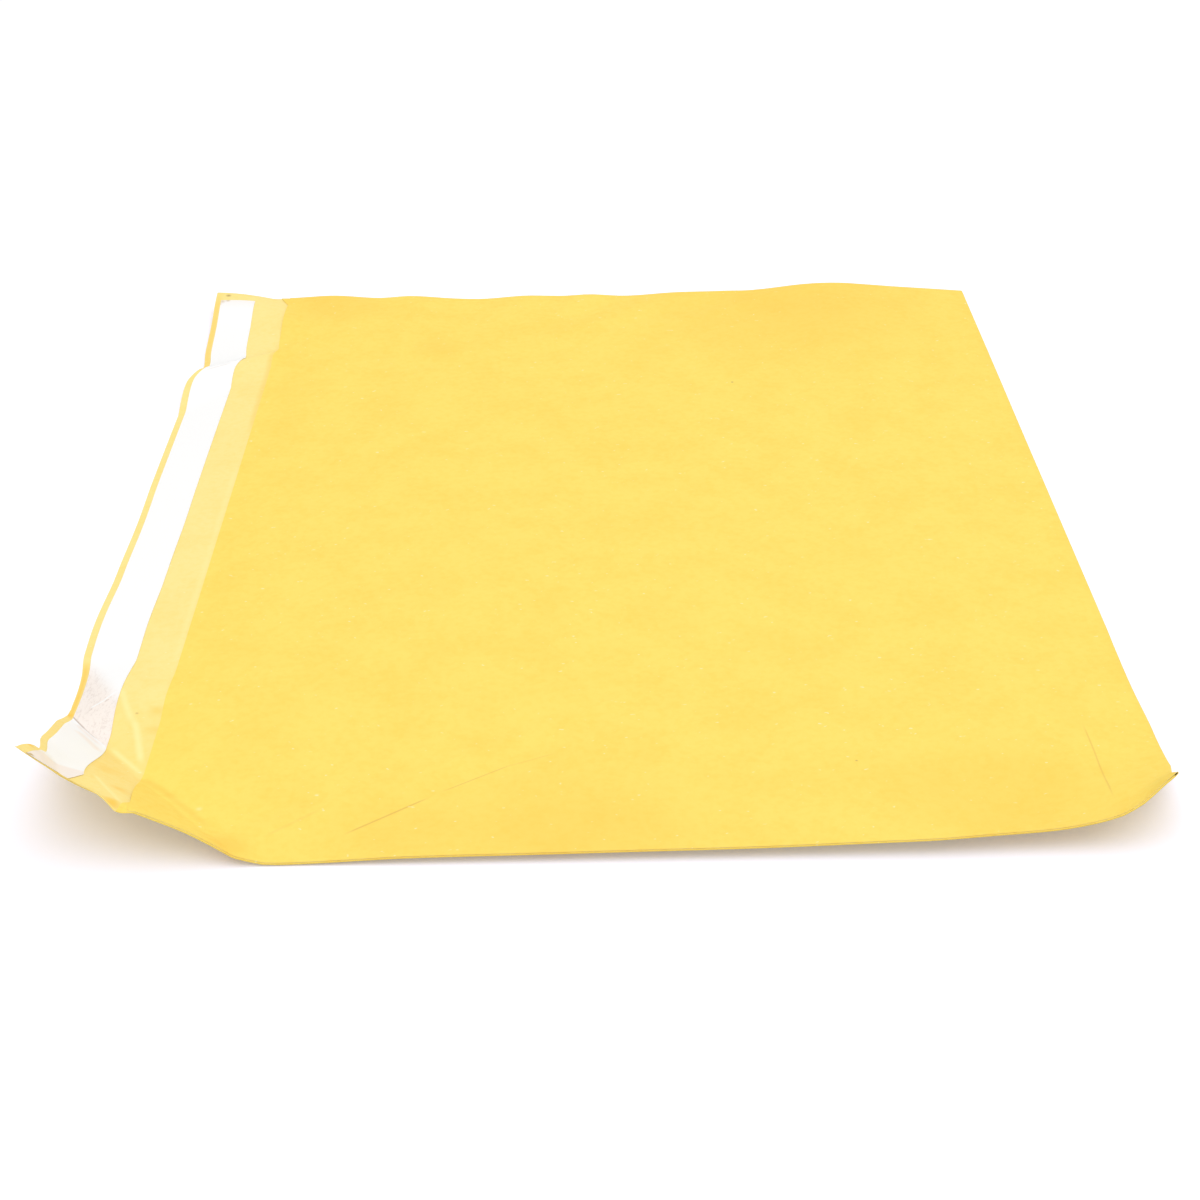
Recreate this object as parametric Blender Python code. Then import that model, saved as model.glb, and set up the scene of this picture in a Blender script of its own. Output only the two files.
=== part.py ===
"""Kraft pocket envelope with its closing flap open, lying on a table as it was found.

The envelope is one sheet. It is die-cut flat, its two side tabs are folded in, and its back panel is folded up
over them and glued, as on the real thing. Only then is it laid down with the lifts and bends of a used
envelope. On the flap lie a band of adhesive and the release liner that covers it.

Metres, +Z up. While it is made, X runs from the mouth to the bottom fold, Y from the near side fold to the
far one, and the underside of the front panel is Z = 0. The finished part has its origin at the middle of the
pocket's underside.
"""

import math

import bmesh
import bpy
from mathutils import Vector

# Folded size of the pocket, and the flap beyond its mouth
POCKET_WIDTH = 0.229
POCKET_DEPTH = 0.324
FLAP_LENGTH = 0.0238

# The paper, and the air between two layers that lie on each other
PAPER = 0.00015
LAYER_AIR = 0.00010
CUT_STEPS_IN_FOLD = 4

# Details of the die-cut blank
TAB_WIDTH = 0.018
TAB_SLOPE = 0.008
TAB_MOUTH_GAP = 0.0004
TAB_BOTTOM_GAP = 0.004
FLAP_SIDE_STEP = 0.0021
FLAP_STEP_END = 0.0033
FLAP_STEP_RUN = 0.0022
BACK_SIDE_STEP = 0.0006
BACK_MOUTH_STEP = 0.0

# Glue line along each tab
GLUE_WIDTH = 0.007
GLUE_END_GAP = 0.003

# Adhesive band and release liner on the flap
LINER_WIDTH = 0.0113
LINER_EDGE_GAP = 0.0019
LINER_NEAR_GAP = 0.0004
LINER_FAR_GAP = 0.0056
LINER_CORNER_SIDE = 0.0062
LINER_CORNER_RUN = 0.0128
LINER_THICKNESS = 0.00010
ADHESIVE_WIDTH = 0.0090
ADHESIVE_END_GAP = 0.0115
ADHESIVE_THICKNESS = 0.00010
SEAT_GAP = 0.00005

# Bends of the near corner at the mouth. Each runs from the near edge to the flap's outer edge: how far along
# the two edges it starts, its radius and how far it turns the paper up
MOUTH_RISE_NEAR = 0.0328
MOUTH_RISE_FLAP = 0.0643
MOUTH_RISE_RADIUS = 0.009
MOUTH_RISE_ANGLE = math.radians(17.0)
MOUTH_CREASE_NEAR = 0.0255
MOUTH_CREASE_FLAP = 0.0634
MOUTH_CREASE_RADIUS = 0.0045
MOUTH_CREASE_ANGLE = math.radians(20.5)

# The dog-eared tip of the flap at that corner
TIP_FOLD_OUTER = 0.0090
TIP_FOLD_SIDE = 0.0220
TIP_FOLD_RADIUS = 0.0015
TIP_FOLD_ANGLE = math.radians(16.0)

# The same corner is crumpled. Each row is a dent: where it is, how far round it reaches, and how far it pushes
# the paper. The sizes after them are the part of the sheet that is cut finely for them, and how finely
DENTS = [
    (-0.0238, 0.0690, 0.0200, 0.0020, 0.0000, -0.0008),
    (-0.0238, 0.0380, 0.0180, 0.0006, 0.0000, 0.0006),
    (-0.0238, 0.0170, 0.0120, 0.0016, 0.0000, -0.0003),
    (-0.0238, 0.0098, 0.0072, 0.0000, 0.0000, 0.0027),
    (-0.0238, 0.0021, 0.0080, -0.0024, 0.0000, 0.0017),
    (-0.0165, 0.0060, 0.0155, 0.0000, 0.0000, -0.0015),
    (-0.0125, 0.0690, 0.0180, -0.0015, 0.0000, 0.0013),
    (-0.0106, 0.0210, 0.0190, -0.0014, 0.0000, 0.0003),
    (-0.0034, -0.0015, 0.0060, 0.0000, 0.0000, -0.0029),
]
DENTED_IN = 0.0082
DENTED_BACK = 0.090
DENTED_PITCH = 0.0066

# Curl of the near corner at the bottom fold, in two bends, measured from that corner
CURL_SOFT_NEAR = 0.0562
CURL_SOFT_SIDE = 0.0437
CURL_SOFT_RADIUS = 0.055
CURL_SOFT_ANGLE = math.radians(25.0)
CURL_TIGHT_NEAR = 0.0162
CURL_TIGHT_SIDE = 0.0211
CURL_TIGHT_RADIUS = 0.0154
CURL_TIGHT_ANGLE = math.radians(30.0)
BEND_STEPS = 4
TIP_STEPS = 2

# Wave in the far edge: a cone of paper that fades out inside the panel. Its crest is measured from the bottom
# fold, and its soft side from the crest
FAR_WAVE_HEIGHT = 0.0033
FAR_WAVE_CREST = 0.042
FAR_WAVE_RUN = 0.050
FAR_WAVE_REACH = 0.125
FAR_WAVE_STEPS = 4

# Smaller ripples along the far edge: height at places along it, measured from the mouth
FAR_RIPPLE_REACH = 0.060
FAR_RIPPLE_APEX = 0.060
FAR_RIPPLE = [
    (-0.060, 0.0000),
    (-0.022, 0.0015),
    (-0.009, 0.0017),
    (0.000, 0.0015),
    (0.015, 0.0021),
    (0.030, 0.0010),
    (0.041, 0.0015),
    (0.056, 0.0003),
    (0.066, 0.0000),
    (0.080, 0.0009),
    (0.093, 0.0006),
    (0.102, 0.0010),
    (0.114, 0.0003),
    (0.132, 0.0013),
    (0.148, 0.0008),
    (0.157, 0.0002),
    (0.175, 0.0007),
    (0.195, 0.0000),
]

# The near edge doesn't quite touch the table: height at places along it, measured from the mouth
NEAR_LIFT_REACH = 0.085
NEAR_LIFT_APEX = 0.140
NEAR_LIFT = [
    (0.000, 0.0000),
    (0.014, 0.0009),
    (0.034, 0.0000),
    (0.062, 0.0012),
    (0.100, 0.0017),
    (0.133, 0.0021),
    (0.167, 0.0031),
    (0.185, 0.0034),
    (0.203, 0.0023),
    (0.214, 0.0024),
    (0.229, 0.0045),
]

# A ridge across the flap, and the flap's far corner beyond it. Each row is a place along the flap's outer edge,
# measured from the far side fold towards the near one, with how far the paper is drawn in and how far it is up
RIDGE_APEX_IN = 0.014
RIDGE_APEX_FAR = 0.034
RIDGE = [
    (0.092, 0.0000, 0.0000),
    (0.079, -0.0006, 0.0014),
    (0.071, -0.0004, 0.0022),
    (0.066, 0.0008, 0.0026),
    (0.062, 0.0021, 0.0025),
    (0.057, 0.0026, 0.0010),
    (0.044, 0.0012, 0.0006),
    (0.024, 0.0003, 0.0016),
    (0.002, 0.0000, 0.0038),
    (-0.014, 0.0000, 0.0031),
    (-0.041, 0.0000, 0.0000),
]

# Colours from the photograph, as linear values, with roughness and metallic value
FINISHES = {
    "envelope": ((1.0, 0.76, 0.15), 0.75, 0.0),
    "adhesive_band": ((0.92, 0.90, 0.80), 0.35, 0.0),
    "release_liner": ((0.95, 0.94, 0.92), 0.45, 0.0),
}

# Points closer than this are one point
SAME_POINT = 1e-6
UP = Vector((0.0, 0.0, 1.0))

# Worked out from the sizes above
SIDE_FOLD_RADIUS = (PAPER + LAYER_AIR) / 2
SIDE_FOLD_START = SIDE_FOLD_RADIUS + PAPER / 2
BOTTOM_FOLD_RADIUS = PAPER + LAYER_AIR
BOTTOM_FOLD_START = POCKET_WIDTH - BOTTOM_FOLD_RADIUS - PAPER / 2
TAB_TOP = 2 * PAPER + LAYER_AIR
BACK_UNDERSIDE = TAB_TOP + LAYER_AIR
CENTRE = Vector((POCKET_WIDTH / 2, POCKET_DEPTH / 2, 0.0))


def clear_scene():
    for thing in list(bpy.data.objects):
        bpy.data.objects.remove(thing, do_unlink=True)


def plate(outline, bottom, thickness):
    """A flat closed plate with the given outline seen from above."""
    bm = bmesh.new()
    corners = [bm.verts.new((x, y, bottom)) for x, y in outline]
    base = bm.faces.new(corners)
    lid = bmesh.ops.extrude_face_region(bm, geom=[base])
    raised = [v for v in lid["geom"] if isinstance(v, bmesh.types.BMVert)]
    bmesh.ops.translate(bm, verts=raised, vec=UP * thickness)
    bmesh.ops.recalc_face_normals(bm, faces=bm.faces)
    return bm


def cut_line(bm, point, normal, wanted=None):
    """Cuts every layer along a straight line seen from above, so that the paper can turn there."""
    faces = [f for f in bm.faces if wanted is None or wanted(f.calc_center_median())]
    chosen = set(faces)
    edges = [e for e in bm.edges if any(f in chosen for f in e.link_faces)]
    verts = [v for v in bm.verts if any(f in chosen for f in v.link_faces)]
    bmesh.ops.bisect_plane(bm, geom=verts + edges + faces, plane_co=point, plane_no=normal, dist=SAME_POINT)


class Bend:
    """A cylindrical bend: paper beyond a line turns up round an arc, and runs on straight after it."""

    def __init__(self, start, normal, radius, angle, steps, neutral=0.0):
        self.start = Vector((start[0], start[1], 0.0))
        self.normal = Vector((normal[0], normal[1], 0.0)).normalized()
        self.radius = radius
        self.angle = angle
        self.steps = steps
        self.neutral = neutral

    def cut(self, bm):
        for step in range(self.steps + 1):
            run = self.radius * self.angle * step / self.steps
            cut_line(bm, self.start + self.normal * run, self.normal)

    def moved(self, place):
        run = (place - self.start).dot(self.normal)
        if run <= 0:
            return place
        turn = min(run / self.radius, self.angle)
        straight = run - turn * self.radius
        arm = self.neutral + self.radius - place.z
        along = arm * math.sin(turn) + straight * math.cos(turn)
        height = self.neutral + self.radius - arm * math.cos(turn) + straight * math.sin(turn)
        return place + self.normal * (along - run) + UP * (height - place.z)

    def apply(self, bm):
        for v in bm.verts:
            v.co = self.moved(v.co)


def bend_across(first, second, towards, radius, angle, steps):
    """A bend whose line runs through two points, and which lifts the side where the third point is."""
    line = Vector(second) - Vector(first)
    normal = Vector((line.y, -line.x))
    if normal.dot(Vector(towards) - Vector(first)) < 0:
        normal = -normal
    return Bend(first, normal, radius, angle, steps)


class Cone:
    """Paper lifted as a wrinkled cone: flat at its apex, and moved most along a rim.

    Each row of the rim is a place along it and how far the paper moves there. Between rows it is straight.
    """

    def __init__(self, apex, outward, reach, rim):
        self.apex = Vector((apex[0], apex[1], 0.0))
        self.outward = Vector((outward[0], outward[1], 0.0))
        self.along = Vector((abs(outward[1]), abs(outward[0]), 0.0))
        self.reach = reach
        self.rim = sorted(rim, key=lambda row: row[0])

    def beyond(self, place):
        return (place - self.apex).dot(self.outward) > SAME_POINT

    def rim_point(self, row):
        flat = self.apex + self.outward * self.reach
        return flat + self.along * (row[0] - flat.dot(self.along))

    def cut(self, bm):
        cut_line(bm, self.apex, self.outward)
        for row in self.rim:
            ray = self.rim_point(row) - self.apex
            cut_line(bm, self.apex, ray.cross(UP).normalized(), self.beyond)

    def moved(self, place):
        depth = (place - self.apex).dot(self.outward)
        if depth <= 0:
            return place
        share = depth / self.reach
        hit = self.apex.dot(self.along) + (place - self.apex).dot(self.along) / share
        below = [row for row in self.rim if row[0] <= hit] or self.rim[:1]
        above = [row for row in self.rim if row[0] > hit] or self.rim[-1:]
        low, high = below[-1], above[0]
        span = high[0] - low[0]
        part = (hit - low[0]) / span if span > SAME_POINT else 0.0
        return place + share * low[1].lerp(high[1], min(max(part, 0.0), 1.0))

    def apply(self, bm):
        for v in bm.verts:
            v.co = self.moved(v.co)


class Crumple:
    """Soft local dents in a corner of the sheet.

    Each is strongest at its middle and nothing at its reach. The push is worked out at the nodes of a lattice of
    triangles and is straight between them, so layers and strips on each other keep their distance.
    """

    def __init__(self, dents, first, last, pitch):
        self.dents = dents
        self.first = Vector(first)
        self.last = Vector(last)
        size = self.last - self.first
        self.columns = round(size.x / pitch)
        self.rows = round(size.y / pitch)
        self.cell = Vector((size.x / self.columns, size.y / self.rows))

    def within(self, place):
        return place.x < self.last.x and place.y < self.last.y

    def cut(self, bm):
        cut_line(bm, (self.last.x, 0, 0), (1, 0, 0))
        cut_line(bm, (0, self.last.y, 0), (0, 1, 0))
        for i in range(1, self.columns):
            cut_line(bm, (self.first.x + i * self.cell.x, 0, 0), (1, 0, 0), self.within)
        for j in range(1, self.rows):
            cut_line(bm, (0, self.first.y + j * self.cell.y, 0), (0, 1, 0), self.within)
        for k in range(1 - self.rows, self.columns):
            start = (self.first.x + k * self.cell.x, self.first.y, 0)
            cut_line(bm, start, Vector((self.cell.y, -self.cell.x, 0)).normalized(), self.within)

    def node_push(self, i, j):
        place = self.first + Vector((i * self.cell.x, j * self.cell.y))
        total = Vector()
        for x, y, reach, *push in self.dents:
            share = math.hypot(place.x - x, place.y - y) / reach
            if share < 1:
                total += Vector(push) * (1 - share * share) ** 2
        return total

    def push(self, place):
        """How far the paper moves that was at a place on the flat sheet."""
        across = (place.x - self.first.x) / self.cell.x
        back = (place.y - self.first.y) / self.cell.y
        i = min(max(math.floor(across), 0), self.columns)
        j = min(max(math.floor(back), 0), self.rows)
        u, v = across - i, back - j
        if u > 1 or v > 1:
            return Vector()
        here, opposite = self.node_push(i, j), self.node_push(i + 1, j + 1)
        if u > v:
            beside = self.node_push(i + 1, j)
            return here + (beside - here) * u + (opposite - beside) * v
        beside = self.node_push(i, j + 1)
        return here + (beside - here) * v + (opposite - beside) * u


def smooth_step(part):
    return (1 - math.cos(math.pi * part)) / 2


def far_wave():
    crest = POCKET_WIDTH - FAR_WAVE_CREST
    rim = [(POCKET_WIDTH, Vector((0, 0, 0)))]
    for step in range(FAR_WAVE_STEPS + 1):
        part = step / FAR_WAVE_STEPS
        height = FAR_WAVE_HEIGHT * smooth_step(part)
        rim.append((crest - FAR_WAVE_RUN * (1 - part), UP * height))
    return Cone((crest, POCKET_DEPTH - FAR_WAVE_REACH), (0, 1), FAR_WAVE_REACH, rim)


def far_ripple():
    rim = [(place, UP * height) for place, height in FAR_RIPPLE]
    return Cone((FAR_RIPPLE_APEX, POCKET_DEPTH - FAR_RIPPLE_REACH), (0, 1), FAR_RIPPLE_REACH, rim)


def near_lift():
    rim = [(place, UP * height) for place, height in NEAR_LIFT]
    return Cone((NEAR_LIFT_APEX, NEAR_LIFT_REACH), (0, -1), NEAR_LIFT_REACH, rim)


def flap_ridge():
    rim = [(POCKET_DEPTH - back, Vector((drawn, 0, up))) for back, drawn, up in RIDGE]
    reach = RIDGE_APEX_IN + FLAP_LENGTH
    return Cone((RIDGE_APEX_IN, POCKET_DEPTH - RIDGE_APEX_FAR), (-1, 0), reach, rim)


def tip_fold():
    outer = (-FLAP_LENGTH, FLAP_SIDE_STEP + TIP_FOLD_OUTER)
    side = (-FLAP_LENGTH + TIP_FOLD_SIDE, FLAP_SIDE_STEP)
    tip = (-FLAP_LENGTH, FLAP_SIDE_STEP)
    return bend_across(outer, side, tip, TIP_FOLD_RADIUS, TIP_FOLD_ANGLE, TIP_STEPS)


def mouth_corner_bend(near, flap, radius, angle):
    return bend_across((near, 0), (-FLAP_LENGTH, flap), (-FLAP_LENGTH, 0), radius, angle, BEND_STEPS)


def bottom_corner_bend(near, side, radius, angle):
    first = (POCKET_WIDTH - near, 0)
    return bend_across(first, (POCKET_WIDTH, side), (POCKET_WIDTH, 0), radius, angle, BEND_STEPS)


def as_laid():
    """Everything that bends the envelope, in the order in which it is applied: outer bends come first."""
    return [
        far_wave(),
        far_ripple(),
        near_lift(),
        flap_ridge(),
        tip_fold(),
        mouth_corner_bend(MOUTH_CREASE_NEAR, MOUTH_CREASE_FLAP, MOUTH_CREASE_RADIUS, MOUTH_CREASE_ANGLE),
        mouth_corner_bend(MOUTH_RISE_NEAR, MOUTH_RISE_FLAP, MOUTH_RISE_RADIUS, MOUTH_RISE_ANGLE),
        bottom_corner_bend(CURL_TIGHT_NEAR, CURL_TIGHT_SIDE, CURL_TIGHT_RADIUS, CURL_TIGHT_ANGLE),
        bottom_corner_bend(CURL_SOFT_NEAR, CURL_SOFT_SIDE, CURL_SOFT_RADIUS, CURL_SOFT_ANGLE),
    ]


def lay_down(bm):
    """Bends a flat piece as the envelope lies on the table, and moves it to the part's origin."""
    bmesh.ops.triangulate(bm, faces=bm.faces)
    shapes = as_laid()
    crumple = Crumple(DENTS, (-FLAP_LENGTH, 0), (DENTED_IN, DENTED_BACK), DENTED_PITCH)
    for shape in [crumple, *shapes]:
        shape.cut(bm)
    bmesh.ops.remove_doubles(bm, verts=bm.verts, dist=SAME_POINT)
    bmesh.ops.triangulate(bm, faces=bm.faces)
    pushes = [crumple.push(v.co) for v in bm.verts]
    for shape in shapes:
        shape.apply(bm)
    for v, push in zip(bm.verts, pushes):
        v.co += push
    bmesh.ops.translate(bm, verts=bm.verts, vec=-CENTRE)


def near_half_of_blank():
    """The blank's outline below its middle line, from the flap to the free end of the back panel."""
    tab_fold = math.pi * SIDE_FOLD_RADIUS
    tab_root = SIDE_FOLD_START
    tab_end = tab_root - tab_fold - TAB_WIDTH
    tab_first = -FLAP_STEP_END + TAB_MOUTH_GAP
    tab_last = BOTTOM_FOLD_START - TAB_BOTTOM_GAP
    back_start = BOTTOM_FOLD_START + math.pi * BOTTOM_FOLD_RADIUS
    back_end = back_start + BOTTOM_FOLD_START - BACK_MOUTH_STEP
    return [
        (-FLAP_LENGTH, FLAP_SIDE_STEP),
        (-FLAP_STEP_END - FLAP_STEP_RUN, FLAP_SIDE_STEP),
        (-FLAP_STEP_END - FLAP_STEP_RUN / 3, FLAP_SIDE_STEP / 2),
        (-FLAP_STEP_END, tab_root),
        (tab_first, tab_root),
        (tab_first, tab_root - tab_fold),
        (tab_first + TAB_SLOPE, tab_end),
        (tab_last - TAB_SLOPE, tab_end),
        (tab_last, tab_root - tab_fold),
        (tab_last, tab_root),
        (BOTTOM_FOLD_START, BACK_SIDE_STEP),
        (back_start, BACK_SIDE_STEP),
        (back_end, BACK_SIDE_STEP),
    ]


def die_cut_blank():
    near = near_half_of_blank()
    far = [(x, POCKET_DEPTH - y) for x, y in reversed(near)]
    return plate(near + far, 0.0, PAPER)


def fold_side_tabs(bm):
    for start, outward in ((SIDE_FOLD_START, -1), (POCKET_DEPTH - SIDE_FOLD_START, 1)):
        fold = Bend((0, start), (0, outward), SIDE_FOLD_RADIUS, math.pi, CUT_STEPS_IN_FOLD, PAPER / 2)
        fold.cut(bm)
        fold.apply(bm)


def fold_back_panel(bm):
    start = (BOTTOM_FOLD_START, 0)
    fold = Bend(start, (1, 0), BOTTOM_FOLD_RADIUS, math.pi, CUT_STEPS_IN_FOLD, PAPER / 2)
    fold.cut(bm)
    fold.apply(bm)


def glue_lines():
    """One bar of glue on each tab, from the middle of the tab's paper to the middle of the back panel's."""
    first = TAB_MOUTH_GAP + TAB_SLOPE + GLUE_END_GAP
    last = BOTTOM_FOLD_START - TAB_BOTTOM_GAP - TAB_SLOPE - GLUE_END_GAP
    middle = TAB_WIDTH / 2
    bars = []
    for centre in (middle, POCKET_DEPTH - middle):
        low, high = centre - GLUE_WIDTH / 2, centre + GLUE_WIDTH / 2
        outline = [(first, low), (last, low), (last, high), (first, high)]
        bottom = TAB_TOP - PAPER / 2
        bars.append(plate(outline, bottom, BACK_UNDERSIDE + PAPER / 2 - bottom))
    return bars


def paint(piece, name):
    colour, roughness, metallic = FINISHES[name]
    material = bpy.data.materials.new(name)
    material.use_nodes = True
    shader = material.node_tree.nodes["Principled BSDF"]
    shader.inputs["Base Color"].default_value = (*colour, 1.0)
    shader.inputs["Roughness"].default_value = roughness
    shader.inputs["Metallic"].default_value = metallic
    piece.data.materials.clear()
    piece.data.materials.append(material)


def add_piece(name, bm):
    mesh = bpy.data.meshes.new(name)
    bm.to_mesh(mesh)
    bm.free()
    piece = bpy.data.objects.new(name, mesh)
    bpy.context.scene.collection.objects.link(piece)
    return piece


def fused(piece, others):
    """The piece's mesh with the others joined to it as one solid. The others are used up."""
    for other in others:
        join = piece.modifiers.new("glue", "BOOLEAN")
        join.operation = "UNION"
        join.object = other
    evaluated = piece.evaluated_get(bpy.context.evaluated_depsgraph_get())
    bm = bmesh.new()
    bm.from_mesh(evaluated.to_mesh())
    evaluated.to_mesh_clear()
    for thing in [piece, *others]:
        bpy.data.objects.remove(thing, do_unlink=True)
    return bm


def build_envelope():
    sheet = die_cut_blank()
    bmesh.ops.triangulate(sheet, faces=sheet.faces)
    fold_side_tabs(sheet)
    fold_back_panel(sheet)
    sheet_piece = add_piece("folded_sheet", sheet)
    bars = [add_piece("glue_line", bar) for bar in glue_lines()]
    bpy.context.view_layer.update()
    envelope = fused(sheet_piece, bars)
    lay_down(envelope)
    paint(add_piece("envelope", envelope), "envelope")


def strip_sides(width):
    """The two long sides of a strip along the flap. Both strips have one middle line."""
    middle = -FLAP_LENGTH + LINER_EDGE_GAP + LINER_WIDTH / 2
    return middle - width / 2, middle + width / 2


def build_strip(name, outline, bottom, thickness):
    strip = plate(outline, bottom, thickness)
    lay_down(strip)
    paint(add_piece(name, strip), name)


def build_adhesive_band():
    near_end = FLAP_SIDE_STEP + ADHESIVE_END_GAP
    far_end = POCKET_DEPTH - FLAP_SIDE_STEP - ADHESIVE_END_GAP
    left, right = strip_sides(ADHESIVE_WIDTH)
    outline = [(left, near_end), (right, near_end), (right, far_end), (left, far_end)]
    build_strip("adhesive_band", outline, PAPER + SEAT_GAP, ADHESIVE_THICKNESS)


def build_release_liner():
    """The liner, with its inner near corner torn off at a slant."""
    near_end = FLAP_SIDE_STEP + LINER_NEAR_GAP
    far_end = POCKET_DEPTH - FLAP_SIDE_STEP - LINER_FAR_GAP
    left, right = strip_sides(LINER_WIDTH)
    torn = [(right - LINER_CORNER_SIDE, near_end), (right, near_end + LINER_CORNER_RUN)]
    outline = [(left, near_end), *torn, (right, far_end), (left, far_end)]
    bottom = PAPER + 2 * SEAT_GAP + ADHESIVE_THICKNESS
    build_strip("release_liner", outline, bottom, LINER_THICKNESS)


def main():
    clear_scene()
    build_envelope()
    build_adhesive_band()
    build_release_liner()


main()
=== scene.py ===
"""A kraft pocket envelope, lying open-flapped on a white table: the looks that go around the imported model.

The folded sheet, the adhesive and the release liner are rebuilt here with a fine mesh. All are made flat
first, in sheet coordinates: X runs from the mouth to the bottom fold, Y from the near side fold to the far
one, and the underside of the front panel is Z = 0. Then they are bent as the envelope lies. Metres throughout.
"""

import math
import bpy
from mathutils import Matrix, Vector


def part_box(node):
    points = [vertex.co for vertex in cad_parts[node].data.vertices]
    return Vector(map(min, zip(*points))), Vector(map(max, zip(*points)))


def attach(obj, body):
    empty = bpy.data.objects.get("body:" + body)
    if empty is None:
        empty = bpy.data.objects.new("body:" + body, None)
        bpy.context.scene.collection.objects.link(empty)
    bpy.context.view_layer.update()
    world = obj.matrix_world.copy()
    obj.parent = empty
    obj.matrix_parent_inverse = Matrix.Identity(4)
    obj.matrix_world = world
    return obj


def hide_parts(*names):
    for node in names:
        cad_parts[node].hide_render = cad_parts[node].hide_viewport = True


bl_info = {
    "name": "Kraft Envelope",
    "version": (1, 0, 0),
    "blender": (4, 5, 0),
    "location": "View3D > Sidebar > Envelope",
    "description": "Folds a kraft envelope and lays it down with the creases of a used one",
    "category": "Object",
}

import bmesh
import bpy
from mathutils import Matrix, Vector, noise

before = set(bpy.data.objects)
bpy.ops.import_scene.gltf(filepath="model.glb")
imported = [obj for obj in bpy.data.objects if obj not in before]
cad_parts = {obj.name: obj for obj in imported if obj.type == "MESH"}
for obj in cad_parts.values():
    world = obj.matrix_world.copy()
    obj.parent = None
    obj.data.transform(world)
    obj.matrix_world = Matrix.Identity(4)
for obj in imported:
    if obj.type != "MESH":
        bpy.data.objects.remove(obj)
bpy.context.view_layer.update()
SHEET_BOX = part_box("envelope")

# Folded size, read from the imported envelope: the pocket is centred on the origin
POCKET_WIDTH = 2 * SHEET_BOX[1][0]
POCKET_DEPTH = 2 * SHEET_BOX[1][1]
FLAP_LENGTH = 0.0238
CENTRE = Vector((POCKET_WIDTH / 2, POCKET_DEPTH / 2, 0.0))

# The paper and the die-cut blank, as in the solids, but with fuller tabs and back panel
PAPER = 0.00015
LAYER_AIR = 0.00010
TAB_WIDTH = 0.018
TAB_SLOPE = 0.008
TAB_MOUTH_GAP = 0.0004
TAB_BOTTOM_GAP = 0.0006
FLAP_SIDE_STEP = 0.0021
FLAP_STEP_END = 0.0033
FLAP_STEP_RUN = 0.0022
BACK_SIDE_STEP = 0.00021
FOLD_STEPS = 8
SIDE_FOLD_RADIUS = (PAPER + LAYER_AIR) / 2
SIDE_FOLD_START = SIDE_FOLD_RADIUS + PAPER / 2
BOTTOM_FOLD_RADIUS = PAPER + LAYER_AIR
BOTTOM_FOLD_START = POCKET_WIDTH - BOTTOM_FOLD_RADIUS - PAPER / 2
BACK_UNDERSIDE = 2 * PAPER + 2 * LAYER_AIR

# Strips on the flap, laid closer than the solids can be
LINER_WIDTH = 0.0113
LINER_EDGE_GAP = 0.0019
LINER_NEAR_GAP = 0.0004
LINER_FAR_GAP = 0.0056
LINER_CORNER_SIDE = 0.0062
LINER_CORNER_RUN = 0.0128
LINER_THICKNESS = 0.00007
ADHESIVE_WIDTH = 0.0090
ADHESIVE_END_GAP = 0.0115
ADHESIVE_THICKNESS = 0.00005
SEAT_GAP = 0.00002
STRIP_PITCH = 0.0010

# Mesh pitch: fine at the crumpled corners and the ridge, coarse elsewhere
COARSE_PITCH = 0.0030
FINE_PITCH = 0.0011
FINE_MOUTH_REACH = 0.016
FINE_NEAR_REACH = 0.085
FINE_RIDGE = (0.044, 0.086)
SAME_POINT = 1e-6
SHARP_ANGLE = math.radians(50.0)
ALONG = Vector((1.0, 0.0, 0.0))
ACROSS = Vector((0.0, 1.0, 0.0))
UP = Vector((0.0, 0.0, 1.0))

# How the envelope lies, as in the solids
MOUTH_RISE_NEAR = 0.0328
MOUTH_RISE_FLAP = 0.0643
MOUTH_RISE_RADIUS = 0.009
MOUTH_RISE_ANGLE = math.radians(17.0)
MOUTH_CREASE_NEAR = 0.0255
MOUTH_CREASE_FLAP = 0.0634
MOUTH_CREASE_RADIUS = 0.0045
MOUTH_CREASE_ANGLE = math.radians(20.5)
TIP_FOLD_OUTER = 0.0090
TIP_FOLD_SIDE = 0.0220
TIP_FOLD_RADIUS = 0.0015
TIP_FOLD_ANGLE = math.radians(16.0)
CURL_SOFT_NEAR = 0.0562
CURL_SOFT_SIDE = 0.0437
CURL_SOFT_RADIUS = 0.055
CURL_SOFT_ANGLE = math.radians(25.0)
CURL_TIGHT_NEAR = 0.0162
CURL_TIGHT_SIDE = 0.0211
CURL_TIGHT_RADIUS = 0.0154
CURL_TIGHT_ANGLE = math.radians(30.0)
CREASE_STEPS = 4
FAR_WAVE_HEIGHT = 0.0033
FAR_WAVE_CREST = 0.042
FAR_WAVE_RUN = 0.050
FAR_WAVE_REACH = 0.125
FAR_RIPPLE_REACH = 0.060
FAR_RIPPLE_APEX = 0.060
FAR_RIPPLE = [
    (-0.060, 0.0000),
    (-0.022, 0.0015),
    (-0.009, 0.0017),
    (0.000, 0.0015),
    (0.015, 0.0021),
    (0.030, 0.0010),
    (0.041, 0.0015),
    (0.056, 0.0003),
    (0.066, 0.0000),
    (0.080, 0.0009),
    (0.093, 0.0006),
    (0.102, 0.0010),
    (0.114, 0.0003),
    (0.132, 0.0013),
    (0.148, 0.0008),
    (0.157, 0.0002),
    (0.175, 0.0007),
    (0.195, 0.0000),
]
NEAR_LIFT_REACH = 0.085
NEAR_LIFT_APEX = 0.140
NEAR_LIFT = [
    (0.000, 0.0000),
    (0.014, 0.0009),
    (0.034, 0.0000),
    (0.062, 0.0012),
    (0.100, 0.0017),
    (0.133, 0.0021),
    (0.167, 0.0031),
    (0.185, 0.0034),
    (0.203, 0.0023),
    (0.214, 0.0024),
    (0.229, 0.0045),
]
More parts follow.
